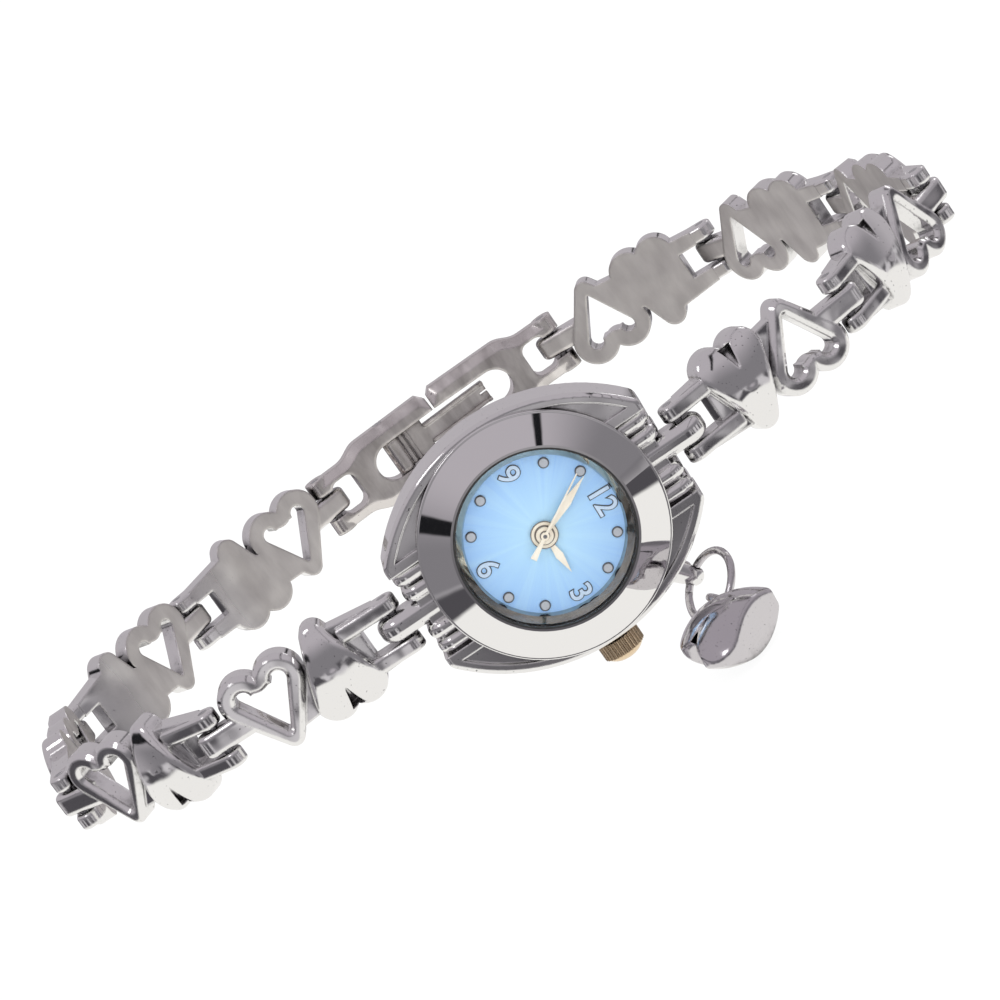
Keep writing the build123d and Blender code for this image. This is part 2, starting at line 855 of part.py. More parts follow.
# Stem with a neck for the setting lever, and the fluted crown
crown_cavity_end = crown_start + crown_cavity_length
with BuildPart() as stem:
    with BuildSketch(crown_line.offset(stem_start)):
        Circle(stem_radius)
    extrude(amount=crown_cavity_end - stem_start)
    with BuildSketch(neck_plane):
        Circle(stem_radius + overrun)
        Circle(neck_radius, mode=Mode.SUBTRACT)
    extrude(amount=neck_length, mode=Mode.SUBTRACT)
write(stem, "stem")

with BuildPart() as setting_lever:
    with BuildSketch(crown_line.offset(lever_start)):
        Rectangle(2 * lever_half_width, 2 * lever_half_height)
        Circle(neck_radius + pin_running_clearance, mode=Mode.SUBTRACT)
        with Locations((0, -lever_half_height / 2)):
            Rectangle(
                2 * (neck_radius + pin_running_clearance),
                lever_half_height,
                mode=Mode.SUBTRACT,
            )
    extrude(amount=lever_thickness)
write(setting_lever, "setting_lever")

crown_rim = crown_flute_radius
crown_knurl_end = crown_start + crown_knurl_length
with BuildPart() as crown:
    with BuildSketch(crown_line.offset(crown_start)):
        Circle(crown_radius)
        with PolarLocations(crown_radius, crown_flutes):
            Circle(crown_flute_radius, mode=Mode.SUBTRACT)
    extrude(amount=crown_knurl_length)
    dome_plane = Plane(origin=(0, -crown_depth, 0), x_dir=(1, 0, 0), z_dir=(0, 1, 0))
    with BuildSketch(dome_plane):
        with BuildLine():
            dome_base = Line((0, crown_knurl_end), (crown_radius - crown_rim, crown_knurl_end))
            dome_arc = ThreePointArc(
                dome_base @ 1,
                (
                    (crown_radius - crown_rim) * math.sin(math.radians(45)),
                    crown_knurl_end + crown_dome_height * math.sin(math.radians(45)),
                ),
                (0, crown_knurl_end + crown_dome_height),
            )
            Line(dome_arc @ 1, dome_base @ 0)
        make_face()
    revolve(axis=Axis((0, -crown_depth, 0), (0, 0, 1)))
    with BuildSketch(crown_line.offset(crown_start)):
        Circle(crown_cavity_radius)
    extrude(amount=crown_cavity_length, mode=Mode.SUBTRACT)
write(crown, "crown")

with BuildPart() as crown_gasket:
    with BuildSketch(crown_line.offset(crown_gasket_place)):
        Circle(crown_cavity_radius)
        Circle(pendant_radius + pin_seat_clearance, mode=Mode.SUBTRACT)
    extrude(amount=crown_gasket_width)
write(crown_gasket, "crown_gasket")

# Charm post: a stepped stud with a domed end, drilled across for the ring
hole_angle = math.radians(post_hole_turn)
across = Vector(-math.cos(math.radians(post_turn)), 0, -math.sin(math.radians(post_turn)))
hole_axis = across * math.cos(hole_angle) + Vector(0, 1, 0) * math.sin(hole_angle)
swing_side = hole_axis.cross(post_axis)
ring_hole = Vector(0, -post_depth, 0) + post_axis * post_hole_place
post_section = Plane(origin=(0, -post_depth, 0), x_dir=post_axis, z_dir=across)
with BuildPart() as charm_post:
    with BuildSketch(post_section):
        with BuildLine():
            post_steps = Polyline(
                (post_end, 0),
                (post_shank_start, 0),
                (post_shank_start, post_shank_radius),
                (post_start, post_shank_radius),
                (post_start, post_radius),
                (post_end - post_tip_radius, post_tip_radius),
            )
            ThreePointArc(
                post_steps @ 1,
                (
                    post_end - post_tip_radius * (1 - math.sin(math.radians(post_tip_turn))),
                    post_tip_radius * math.sin(math.radians(post_tip_turn)),
                ),
                post_steps @ 0,
            )
        make_face()
    revolve(axis=Axis(post_section.origin, post_axis))
    with BuildSketch(Plane(origin=ring_hole, x_dir=post_axis, z_dir=hole_axis)):
        Circle(post_hole_radius)
    extrude(amount=post_radius + overrun, both=True, mode=Mode.SUBTRACT)
write(charm_post, "charm_post")

# Open jump ring, swung forward from the post
swing_angle = math.radians(ring_swing)
to_centre = post_axis * math.cos(swing_angle) + swing_side * math.sin(swing_angle)
ring_centre = ring_hole + to_centre * ring_radius
ring_plane = Plane(
    origin=ring_centre,
    x_dir=to_centre,
    z_dir=to_centre.cross(hole_axis),
)
with BuildPart() as jump_ring:
    ring_start = Plane(
        origin=ring_plane.from_local_coords(
            (
                ring_radius * math.cos(math.radians(ring_gap_place)),
                ring_radius * math.sin(math.radians(ring_gap_place)),
                0,
            )
        ),
        x_dir=ring_plane.z_dir,
        z_dir=ring_plane.x_dir * -math.sin(math.radians(ring_gap_place))
        + ring_plane.y_dir * math.cos(math.radians(ring_gap_place)),
    )
    with BuildSketch(ring_start):
        Circle(ring_wire_radius)
    revolve(axis=Axis(ring_centre, ring_plane.z_dir), revolution_arc=360 - ring_gap_turn)
write(jump_ring, "jump_ring")

# Fat puffed heart charm, drawn with its lobes at +y, and the loop on its long edge
charm_angle = math.radians(charm_place_turn)
loop_centre = ring_centre + (
    ring_plane.x_dir * math.cos(charm_angle) + ring_plane.y_dir * math.sin(charm_angle)
) * ring_radius
charm_turned = Plane(Location((0, 0, 0), charm_turns))
charm_plane = Plane(
    origin=loop_centre - charm_turned.x_dir * loop_x - charm_turned.y_dir * loop_y,
    x_dir=charm_turned.x_dir,
    z_dir=charm_turned.z_dir,
)
charm_half = puffed_heart(
    charm_height / 2 - charm_lobe_radius,
    charm_tip_radius - charm_height / 2,
    charm_lobe_spread,
    charm_lobe_radius,
    charm_tip_radius,
    0,
    charm_rim,
    charm_crest,
    charm_round,
)
loop_seat = Plane(origin=(loop_x, loop_y, 0), z_dir=Vector(0, 0, 1).rotate(Axis.X, -loop_turn))
with BuildPart() as heart_charm_drawn:
    add(charm_half)
    add(mirror(charm_half, about=Plane.XY))
    add(
        puffed_drop(
            loop_stalk_x,
            loop_stalk_y,
            loop_stalk_radius,
            loop_x + loop_radius,
            loop_y,
            loop_wire_radius,
        )
    )
    with Locations(loop_seat):
        Torus(loop_radius, loop_wire_radius)
put(heart_charm_drawn.part, charm_plane, "heart_charm")

# Heart link, drawn with its clevis pin at the origin and its tongue along +X.
# Local z faces outward; the solid heart has its lobes at +y and its tip at -y.
solid_lobe_y = solid_heart_height / 2 - solid_lobe_radius
solid_tip_y = solid_tip_radius - solid_heart_height / 2
open_lobe_y = open_lobe_radius - open_heart_height / 2
open_tip_y = open_heart_height / 2 - open_tip_radius
notch_y = open_lobe_y - math.sqrt(open_lobe_radius**2 - open_lobe_spread**2)
hole_depth = link_back + open_top
hole_lobe_radius = open_lobe_radius - open_band
lobe_tangent, tip_tangent = tangents(
    open_lobe_spread, open_lobe_y, open_lobe_radius, 0, open_tip_y, open_tip_radius
)
flank_angle = math.atan2(lobe_tangent[0] - tip_tangent[0], tip_tangent[1] - lobe_tangent[1])
hole_tip_radius = hole_lobe_radius / 4
tip_setback = (open_band - open_tip_radius + hole_tip_radius) / math.sin(flank_angle)


def pin_bore(place, radius):
    """Cylinder along local y that drills a hinge hole at its place."""
    with BuildPart() as bore:
        with BuildSketch(Plane.XZ):
            with Locations((place, 0)):
                Circle(radius)
        extrude(amount=ear_reach + overrun, both=True)
    return bore.part


with BuildPart() as ear:
    with BuildSketch(Plane.XZ):
        Circle(ear_radius)
        with Locations((ear_length / 2, 0)):
            Rectangle(ear_length, 2 * ear_radius)
    extrude(amount=ear_width / 2, both=True)
    fillet(
        ear.edges().filter_by(lambda edge: abs(edge.center().Y) > ear_width / 4),
        ear_round,
    )

with BuildPart() as tongue:
    tongue_start = open_heart_place + tongue_root
    tongue_nose = link_pitch + tongue_overhang - tongue_half_height
    with BuildSketch(Plane.XZ):
        with Locations(((tongue_start + tongue_nose) / 2, 0)):
            Rectangle(tongue_nose - tongue_start, 2 * tongue_half_height)
        with Locations((tongue_nose, 0)):
            Circle(tongue_half_height)
    extrude(amount=tongue_half_width, both=True)
    fillet(
        tongue.edges().filter_by(lambda edge: abs(edge.center().Y) > tongue_half_width / 2),
        tongue_round,
    )

with BuildPart() as heart_link:
    with BuildSketch(Plane.XY.offset(-link_back)):
        with BuildLine():
            Polyline(
                (ear_radius, -ear_reach),
                (solid_heart_place - solid_tip_radius, solid_tip_y),
                (solid_heart_place, solid_tip_y),
                (solid_heart_place, solid_lobe_y),
                (solid_heart_place - solid_lobe_spread, solid_heart_height / 2 - ear_width),
                (ear_radius, ear_reach),
                close=True,
            )
        make_face()
    extrude(amount=link_back + shoulder_top)
    with Locations((solid_heart_place, 0, 0)):
        add(
            puffed_heart(
                solid_lobe_y,
                solid_tip_y,
                solid_lobe_spread,
                solid_lobe_radius,
                solid_tip_radius,
                -link_back,
                solid_rim,
                solid_crest,
                solid_round,
            )
        )
    with BuildSketch(Plane.XY.offset(-link_back - overrun)):
        with Locations((slot_depth / 2 - overrun, 0)):
            Rectangle(slot_depth + 2 * overrun, 2 * slot_half_width)
    extrude(amount=2 * (link_back + overrun), mode=Mode.SUBTRACT)
    for ear_side in (-1, 1):
        with Locations((0, ear_side * (slot_half_width + ear_width / 2), 0)):
            add(ear.part)
    with BuildSketch(Plane.XY.offset(-link_back)):
        with BuildLine():
            Polyline(
                (solid_heart_place, solid_lobe_y),
                (open_heart_place, open_tip_y),
                (open_heart_place - tongue_root, 0),
                (solid_heart_place, -web_half_width),
                close=True,
            )
        make_face()
    extrude(amount=link_back + web_top)

with BuildPart() as open_heart:
    with BuildSketch(Plane.XY.offset(-link_back)):
        add(
            heart_outline(
                open_heart_place,
                open_lobe_y,
                open_tip_y,
                open_lobe_spread,
                open_lobe_radius,
                open_tip_radius,
            )
        )
    extrude(amount=link_back + open_top)
    chamfer(open_heart.faces().sort_by(Axis.Z)[-1].edges(), open_bevel)

with BuildSketch() as hole_outline:
    add(
        heart_outline(
            open_heart_place,
            open_lobe_y,
            open_tip_y - tip_setback - open_tip_radius + open_band,
            open_lobe_spread,
            hole_lobe_radius,
            hole_tip_radius,
        )
    )
    with Locations((open_heart_place, notch_y)):
        Circle(open_band, mode=Mode.SUBTRACT)

with BuildPart() as heart_hole:
    with BuildSketch(Plane.XY.offset(-link_back - overrun)):
        add(hole_outline.sketch)
    extrude(amount=hole_depth + 2 * overrun)
    with BuildSketch(Plane.XY.offset(open_top - hole_bevel)):
        add(hole_outline.sketch)
    extrude(amount=2 * hole_bevel, taper=-45)

with BuildPart() as finished_link:
    add(heart_link.part)
    add(open_heart.part)
    add(tongue.part)
    add(heart_hole.part, mode=Mode.SUBTRACT)
    add(pin_bore(0, pin_radius + pin_seat_clearance), mode=Mode.SUBTRACT)
    add(pin_bore(link_pitch, pin_radius + pin_running_clearance), mode=Mode.SUBTRACT)

with BuildPart() as hinge_pin:
    with BuildSketch(Plane.XZ.offset(-ear_reach)):
        Circle(pin_radius)
    extrude(amount=2 * ear_reach)


# Bracelet: each side is a chain of five links from the lug to the clasp
def chain_seats(side, turns):
    """Planes of the five links of one side and of the clasp's pin."""
    seats = []
    pin = Vector(side * lug_pin_reach, -lug_pin_depth, 0)
    angle = 0
    for turn in turns:
        angle += math.radians(turn)
        along = Vector(side * math.cos(angle), math.sin(angle), 0)
        outward = Vector(side * math.sin(angle), -math.cos(angle), 0)
        seats.append(Plane(origin=pin, x_dir=along, z_dir=outward))
        pin = pin + along * link_pitch
    return seats, pin


left_seats, left_end = chain_seats(-1, left_turns)
right_seats, right_end = chain_seats(1, right_turns)
for side_name, seats in (("left", left_seats), ("right", right_seats)):
    for number, seat in enumerate(seats, 1):
        put(finished_link.part, seat, f"{side_name}_link_{number}")
        put(hinge_pin.part, seat, f"{side_name}_pin_{number}")

# Clasp: two frames that meet in a slight arch over the back of the wrist
clasp_line = right_end - left_end
clasp_slope = math.atan2(clasp_line.Y, clasp_line.X)
arch_angle = math.radians(clasp_arch)
frame_length = clasp_line.length / 2 / math.cos(arch_angle) - clasp_gap / 2
left_slope = clasp_slope + arch_angle
right_slope = clasp_slope - arch_angle
left_clasp_seat = Plane(
    origin=left_end,
    x_dir=(math.cos(left_slope), math.sin(left_slope), 0),
    z_dir=(-math.sin(left_slope), math.cos(left_slope), 0),
)
right_clasp_seat = Plane(
    origin=right_end,
    x_dir=(-math.cos(right_slope), -math.sin(right_slope), 0),
    z_dir=(-math.sin(right_slope), math.cos(right_slope), 0),
)


def frame_rails():
    """Fork with ears at the pin, two swelling rails and an open far end."""
    with BuildPart() as rails:
        with BuildSketch(Plane.XY.offset(-frame_half_height)):
            with BuildLine():
                neck = Polyline(
                    (0, 0),
                    (0, frame_half_width),
                    (frame_neck_length, frame_half_width),
                )
                swell = Spline(
                    neck @ 1,
                    (frame_belly_start, frame_belly_half_width),
                    tangents=((1, 0), (1, 0)),
                )
                Polyline(
                    swell @ 1,
                    (frame_length - frame_nose_length, frame_belly_half_width),
                    (frame_length, frame_end_half_width),
                    (frame_length, 0),
                )
                mirror(about=Plane.XZ)
            make_face()
        extrude(amount=2 * frame_half_height)
        for flat in (rails.faces().sort_by(Axis.Z)[0], rails.faces().sort_by(Axis.Z)[-1]):
            chamfer(
                flat.edges().filter_by(lambda edge: abs(edge.center().Y) > window_half_width),
                frame_bevel_width,
                frame_bevel_height,
                reference=flat,
            )
        with BuildSketch(Plane.XZ):
            Circle(frame_half_height)
        extrude(amount=frame_half_width, both=True)
        with BuildSketch(Plane.XY.offset(-frame_half_height - overrun)):
            with Locations((0, 0)):
                Rectangle(2 * overrun + 2 * frame_half_height, 2 * slot_half_width)
            with Locations(((ear_radius + slot_depth) / 2, 0)):
                RectangleRounded(
                    slot_depth - ear_radius + overrun / 2,
                    2 * window_half_width,
                    window_half_width / 2,
                )
        extrude(amount=2 * (frame_half_height + overrun), mode=Mode.SUBTRACT)
        with BuildSketch(Plane.XY.offset(-frame_half_height - overrun)):
            with Locations((window_start + window_half_width, 0)):
                Circle(window_half_width)
            with Locations(((window_start + window_half_width + frame_length + overrun) / 2, 0)):
                Rectangle(
                    frame_length + overrun - window_start - window_half_width,
                    2 * window_half_width,
                )
        extrude(amount=2 * (frame_half_height + overrun), mode=Mode.SUBTRACT)
        add(pin_bore(0, pin_radius + pin_seat_clearance), mode=Mode.SUBTRACT)
    return rails.part


with BuildPart() as left_frame:
    add(frame_rails())
    with BuildSketch(Plane.XZ):
        with Locations((hook_pin_place, 0)):
            Circle(hook_pin_radius + pin_seat_clearance)
    extrude(amount=frame_belly_half_width + overrun, both=True, mode=Mode.SUBTRACT)

with BuildPart() as right_frame:
    add(frame_rails())

with BuildPart() as clasp_pin:
    with BuildSketch(Plane.XZ.offset(-frame_half_width)):
        Circle(pin_radius)
    extrude(amount=2 * frame_half_width)

with BuildPart() as hook_pin:
    with BuildSketch(Plane.XZ.offset(-frame_belly_half_width)):
        with Locations((hook_pin_place, 0)):
            Circle(hook_pin_radius)
    extrude(amount=2 * frame_belly_half_width)

# Sheet hook: a ribbed barrel on its pin, a wide plate and a narrow arm
barrel_half_width = window_half_width - hook_side_clearance
hook_tip = hook_pin_place + hook_length
with BuildPart() as clasp_hook:
    with BuildSketch(Plane.XZ):
        with Locations((hook_pin_place, 0)):
            Circle(hook_barrel_radius)
    extrude(amount=barrel_half_width, both=True)
    with BuildSketch(Plane.XY.offset(-hook_thickness / 2)):
        with Locations((hook_pin_place + hook_plate_length / 2, 0)):
            Rectangle(hook_plate_length, 2 * hook_half_width)
        with Locations((hook_pin_place + hook_length / 2, 0)):
            Rectangle(hook_length, 2 * hook_arm_half_width)
        with Locations((hook_tip - hook_nub_radius, 0)):
            Rectangle(hook_arm_half_width, hook_nub_radius, mode=Mode.SUBTRACT)
    extrude(amount=hook_thickness)
    for fold_place in hook_fold_places:
        with BuildSketch(Plane.XZ):
            with Locations((hook_pin_place + fold_place, -hook_thickness / 2)):
                Circle(hook_fold_radius)
        extrude(amount=hook_half_width, both=True)
    for rib_side in (-1, 1):
        rib_middle = rib_side * (hook_arm_half_width - hook_rib_width / 2)
        rib_start = hook_pin_place + hook_plate_length
        with BuildSketch(Plane.XY.offset(-hook_thickness / 2 - hook_rib_height)):
            with Locations(((rib_start + hook_tip) / 2, rib_middle)):
                Rectangle(hook_tip - rib_start, hook_rib_width)
        extrude(amount=hook_rib_height + hook_thickness / 2)
        with BuildSketch(Plane.XZ.offset(-rib_middle - hook_rib_width / 2)):
            with Locations((hook_tip - hook_nub_radius, -hook_thickness / 2 - hook_rib_height)):
                Circle(hook_nub_radius)
        extrude(amount=hook_rib_width)
    with BuildSketch(Plane.XZ):
        with Locations((hook_pin_place, 0)):
            Circle(hook_pin_radius + pin_running_clearance)
    extrude(amount=barrel_half_width + overrun, both=True, mode=Mode.SUBTRACT)

put(left_frame.part, left_clasp_seat, "clasp_frame_left")
put(right_frame.part, right_clasp_seat, "clasp_frame_right")
put(clasp_pin.part, left_clasp_seat, "left_pin_6")
put(clasp_pin.part, right_clasp_seat, "right_pin_6")
put(hook_pin.part, left_clasp_seat, "clasp_hook_pin")
put(clasp_hook.part, left_clasp_seat, "clasp_hook")
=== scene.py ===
import bpy
import math
from mathutils import Matrix, Vector


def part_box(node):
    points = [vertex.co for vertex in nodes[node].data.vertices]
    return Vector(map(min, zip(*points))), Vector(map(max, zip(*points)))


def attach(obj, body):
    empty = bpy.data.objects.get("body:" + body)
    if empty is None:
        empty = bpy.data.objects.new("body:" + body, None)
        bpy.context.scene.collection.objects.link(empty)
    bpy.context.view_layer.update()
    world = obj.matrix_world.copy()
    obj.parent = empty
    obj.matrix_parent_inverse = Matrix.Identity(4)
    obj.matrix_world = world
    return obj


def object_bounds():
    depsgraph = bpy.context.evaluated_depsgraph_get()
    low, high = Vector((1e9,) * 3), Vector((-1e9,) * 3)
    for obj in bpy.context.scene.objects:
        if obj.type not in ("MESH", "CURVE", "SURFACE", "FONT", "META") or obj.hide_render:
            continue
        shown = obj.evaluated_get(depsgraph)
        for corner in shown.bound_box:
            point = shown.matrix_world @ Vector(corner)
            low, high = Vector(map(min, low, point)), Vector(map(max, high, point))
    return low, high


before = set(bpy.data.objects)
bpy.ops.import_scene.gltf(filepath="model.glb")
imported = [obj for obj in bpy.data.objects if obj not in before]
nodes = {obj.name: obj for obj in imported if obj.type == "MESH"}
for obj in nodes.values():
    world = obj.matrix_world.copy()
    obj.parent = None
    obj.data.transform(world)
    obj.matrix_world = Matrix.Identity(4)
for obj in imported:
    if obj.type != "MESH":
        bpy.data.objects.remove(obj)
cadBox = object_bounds()
mm = 0.001
dialTurn = 3  # degrees by which the dial stands turned in its case


def selectOnly(piece):
    bpy.ops.object.select_all(action="DESELECT")
    piece.select_set(True)
    bpy.context.view_layer.objects.active = piece


def applyPlace(piece):
    # the place goes into the mesh, so the object ends at the origin
    selectOnly(piece)
    bpy.ops.object.transform_apply(location=True, rotation=True, scale=True)


def finishPiece(piece, name, body, material):
    piece.name = name
    piece.data.name = name
    piece.data.materials.clear()
    piece.data.materials.append(material)
    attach(piece, body)


# camera fitted to the photograph: the middle of the case back lies at photoPoint
camera = {
    "elevation": 14.5,
    "azimuth": -3.2,
    "roll": 34.85,
    "distance": 295 * mm,
    "pixelsPerMetre": 14032,
    "photoPoint": (538.3, 519.7),
    "photoSize": 1000,
    "sensor": 36,
    "clip": (1 * mm, 10),
}


def makeCamera(settings):
    rise, turn, roll = [math.radians(settings[key]) for key in ("elevation", "azimuth", "roll")]
    flat = math.cos(rise)
    forward = Vector((math.sin(turn) * flat, math.cos(turn) * flat, -math.sin(rise)))
    right = Vector((math.cos(turn), -math.sin(turn), 0))
    up = right.cross(forward)
    imageRight = right * math.cos(roll) - up * math.sin(roll)
    imageUp = right * math.sin(roll) + up * math.cos(roll)
    size = settings["photoSize"]
    focal = settings["pixelsPerMetre"] * settings["distance"]
    bpy.ops.object.camera_add()
    view = bpy.context.object
    view.matrix_world = Matrix((imageRight, imageUp, -forward)).transposed().to_4x4()
    view.location = -forward * settings["distance"]
    view.data.sensor_width = settings["sensor"]
    view.data.lens = focal / size * settings["sensor"]
    view.data.shift_x = (size / 2 - settings["photoPoint"][0]) / size
    view.data.shift_y = (settings["photoPoint"][1] - size / 2) / size
    view.data.clip_start, view.data.clip_end = settings["clip"]
    bpy.context.scene.camera = view
    return imageRight, imageUp


imageRight, imageUp = makeCamera(camera)
print("camera ready")


def put(tree, socket, value):
    # value is another node's output, a colour or a number
    if isinstance(value, bpy.types.NodeSocket):
        tree.links.new(value, socket)
    elif socket.type == "RGBA":
        socket.default_value = (*value, 1)
    else:
        socket.default_value = value


def addNode(tree, kind, values, operation=None):
    node = tree.nodes.new(kind)
    if operation:
        node.operation = operation
    for socket, value in zip(node.inputs, values):
        put(tree, socket, value)
    return node


def calculate(tree, operation, *values):
    return addNode(tree, "ShaderNodeMath", values, operation).outputs[0]


def vectorOf(tree, operation, *values):
    return addNode(tree, "ShaderNodeVectorMath", values, operation).outputs["Vector"]


def numberOf(tree, operation, *values):
    return addNode(tree, "ShaderNodeVectorMath", values, operation).outputs["Value"]


def mixColours(tree, factor, first, second):
    return addNode(tree, "ShaderNodeMixRGB", (factor, first, second)).outputs[0]


def rangeOf(tree, value, low, high, fromLow=0.3, fromHigh=0.7, shape="LINEAR"):
    span = addNode(tree, "ShaderNodeMapRange", (value, fromLow, fromHigh, low, high))
    span.interpolation_type = shape
    return span.outputs[0]


def noiseFrom(tree, vector, scale, detail):
    noise = tree.nodes.new("ShaderNodeTexNoise")
    put(tree, noise.inputs["Vector"], vector)
    put(tree, noise.inputs["Scale"], scale)
    put(tree, noise.inputs["Detail"], detail)
    return noise.outputs["Fac"]


def rayKinds(tree):
    # what is seen directly or through the crystal, and what is mirrored
    rays = tree.nodes.new("ShaderNodeLightPath").outputs
    clear = calculate(tree, "MAXIMUM", rays["Is Camera Ray"], rays["Is Transmission Ray"])
    return clear, rays["Is Glossy Ray"]


# studio: polished metal sees a white table below, an uneven dark apron beyond its edge,
# a grey tent above and two dark seams
studio = {
    "white": 1.0,
    "fill": 1.5,
    "table": (0.98, 0.965, 0.94),
    "tableEdge": (-0.37, -0.34),
    "tentLow": (0.235, 0.224, 0.242),
    "tentHigh": (0.50, 0.465, 0.502),
    "tentRise": (0.05, 0.42),
    "apronLow": (0.085, 0.08, 0.09),
    "apronHigh": (0.64, 0.615, 0.64),
    "apronEnd": (-0.235, -0.17),
    "apronScale": 4.6,
    "apronDetail": 2,
    "apronPatch": (0.40, 0.57),
    "backWall": (0.50, 0.47, 0.50),
    "backWallTurn": (0.25, -0.45),
    "seam": (0.012, 0.012, 0.014),
    "upperSeam": (0.13, 0.016, 0.19),
    "leftSeam": (-0.355, 0.04, 0.40),
    "seamSoftness": 0.02,
    "lampSize": 0.10,
    "keyPower": 0.08,
    "keyPlace": (-0.14, -0.22, 0.26),
    "rimPower": 0.04,
    "rimPlace": (0.25, 0.20, 0.18),
    "floorGap": 0.2 * mm,
    "floorSize": 6.0,
    "floorColour": (0.9, 0.9, 0.9),
    "glowColour": (1, 1, 1),
    "floorGlow": 0.92,
    "floorLight": 1.03,
}


def makeStudio(settings):
    world = bpy.data.worlds.new("studio")
    bpy.context.scene.world = world
    world.use_nodes = True
    tree = world.node_tree
    tree.nodes.clear()
    direction = tree.nodes.new("ShaderNodeTexCoord").outputs["Generated"]

    def along(axis):
        return numberOf(tree, "DOT_PRODUCT", direction, axis)

    def ramp(value, start, end):
        return rangeOf(tree, value, 0, 1, start, end, "SMOOTHSTEP")

    def seamMask(across, reach, middle, halfWidth, reachFrom):
        # a dark strip: near the middle across it, and only beyond reachFrom along it
        distance = calculate(tree, "ABSOLUTE", calculate(tree, "SUBTRACT", across, middle))
        soft = settings["seamSoftness"]
        near = rangeOf(tree, distance, 1, 0, halfWidth, halfWidth + soft, "SMOOTHSTEP")
        return calculate(tree, "MULTIPLY", near, ramp(reach, reachFrom, reachFrom + soft))

    height = along((0, 0, 1))
    right, left, up = along(imageRight), along(-imageRight), along(imageUp)
    toCamera = along(imageRight.cross(imageUp))
    rise = ramp(height, *settings["tentRise"])
    tent = mixColours(tree, rise, settings["tentLow"], settings["tentHigh"])
    wall = ramp(toCamera, *settings["backWallTurn"])
    tent = mixColours(tree, wall, tent, settings["backWall"])
    for mask in (
        seamMask(right, up, *settings["upperSeam"]),
        seamMask(up, left, *settings["leftSeam"]),
    ):
        tent = mixColours(tree, mask, tent, settings["seam"])
    patches = noiseFrom(tree, direction, settings["apronScale"], settings["apronDetail"])
    patch = ramp(patches, *settings["apronPatch"])
    apron = mixColours(tree, patch, settings["apronLow"], settings["apronHigh"])
    tent = mixColours(tree, ramp(height, *settings["apronEnd"]), apron, tent)
    mirrored = mixColours(tree, ramp(height, *settings["tableEdge"]), settings["table"], tent)

    clear, glossy = rayKinds(tree)
    lit = mixColours(tree, glossy, (settings["fill"],) * 3, mirrored)
    shown = mixColours(tree, clear, lit, (settings["white"],) * 3)
    background = tree.nodes.new("ShaderNodeBackground")
    put(tree, background.inputs["Color"], shown)
    output = tree.nodes.new("ShaderNodeOutputWorld")
    put(tree, output.inputs["Surface"], background.outputs[0])

    for lamp in ("key", "rim"):
        place = settings[lamp + "Place"]
        bpy.ops.object.light_add(type="AREA", location=place)
        light = bpy.context.object
        light.name = lamp + "Lamp"
        light.data.energy = settings[lamp + "Power"]
        light.data.shape = "DISK"
        light.data.size = settings["lampSize"]
        light.rotation_euler = (-Vector(place)).to_track_quat("-Z", "Y").to_euler()


def makeFloor(settings):
    low = cadBox[0].z - settings["floorGap"]
    bpy.ops.mesh.primitive_plane_add(size=settings["floorSize"], location=(0, 0, low))
    floor = bpy.context.object
    floor.name = "floor"
    material = bpy.data.materials.new("paleFloor")
    material.use_nodes = True
    tree = material.node_tree
    tree.nodes.clear()

    def mixShaders(factor, first, second):
        return addNode(tree, "ShaderNodeMixShader", (factor, first, second)).outputs[0]

    matt = addNode(tree, "ShaderNodeBsdfDiffuse", (settings["floorColour"],)).outputs[0]
    light = (settings["glowColour"], settings["floorLight"])
    glow = addNode(tree, "ShaderNodeEmission", light).outputs[0]
    hollow = tree.nodes.new("ShaderNodeBsdfTransparent").outputs[0]
    clear, glossy = rayKinds(tree)
    pale = mixShaders(calculate(tree, "MULTIPLY", clear, settings["floorGlow"]), matt, glow)
    # metal looks through the floor and sees the table that the world draws
    output = tree.nodes.new("ShaderNodeOutputMaterial")
    put(tree, output.inputs["Surface"], mixShaders(glossy, pale, hollow))
    floor.data.materials.append(material)


makeStudio(studio)
makeFloor(studio)
bpy.context.scene.view_settings.view_transform = "Standard"
print("studio ready")


def blankMaterial(name):
    material = bpy.data.materials.new(name)
    material.use_nodes = True
    tree = material.node_tree
    shader = tree.nodes["Principled BSDF"]
    place = tree.nodes.new("ShaderNodeTexCoord")
    return material, tree, shader, place


def setSurface(tree, shader, colour, roughness, metallic=0):
    put(tree, shader.inputs["Base Color"], colour)
    put(tree, shader.inputs["Roughness"], roughness)
    put(tree, shader.inputs["Metallic"], metallic)


def bumpFrom(tree, shader, height, strength, distance):
    bump = tree.nodes.new("ShaderNodeBump")
    put(tree, bump.inputs["Strength"], strength)
    put(tree, bump.inputs["Distance"], distance)
    put(tree, bump.inputs["Height"], height)
    put(tree, shader.inputs["Normal"], bump.outputs[0])
    return bump


def noiseOn(tree, place, scale, detail=3, stretch=(1, 1, 1)):
    mapping = tree.nodes.new("ShaderNodeMapping")
    put(tree, mapping.inputs["Vector"], place.outputs["Object"])
    put(tree, mapping.inputs["Scale"], stretch)
    return noiseFrom(tree, mapping.outputs[0], scale, detail)


def grainOn(tree, place, scale, first, second):
    grain = noiseOn(tree, place, scale)
    return grain, mixColours(tree, rangeOf(tree, grain, 0, 1), first, second)


def fromDialMiddle(tree, place):
    flat = vectorOf(tree, "MULTIPLY", place.outputs["Object"], (1, 0, 1))
    return numberOf(tree, "LENGTH", flat)


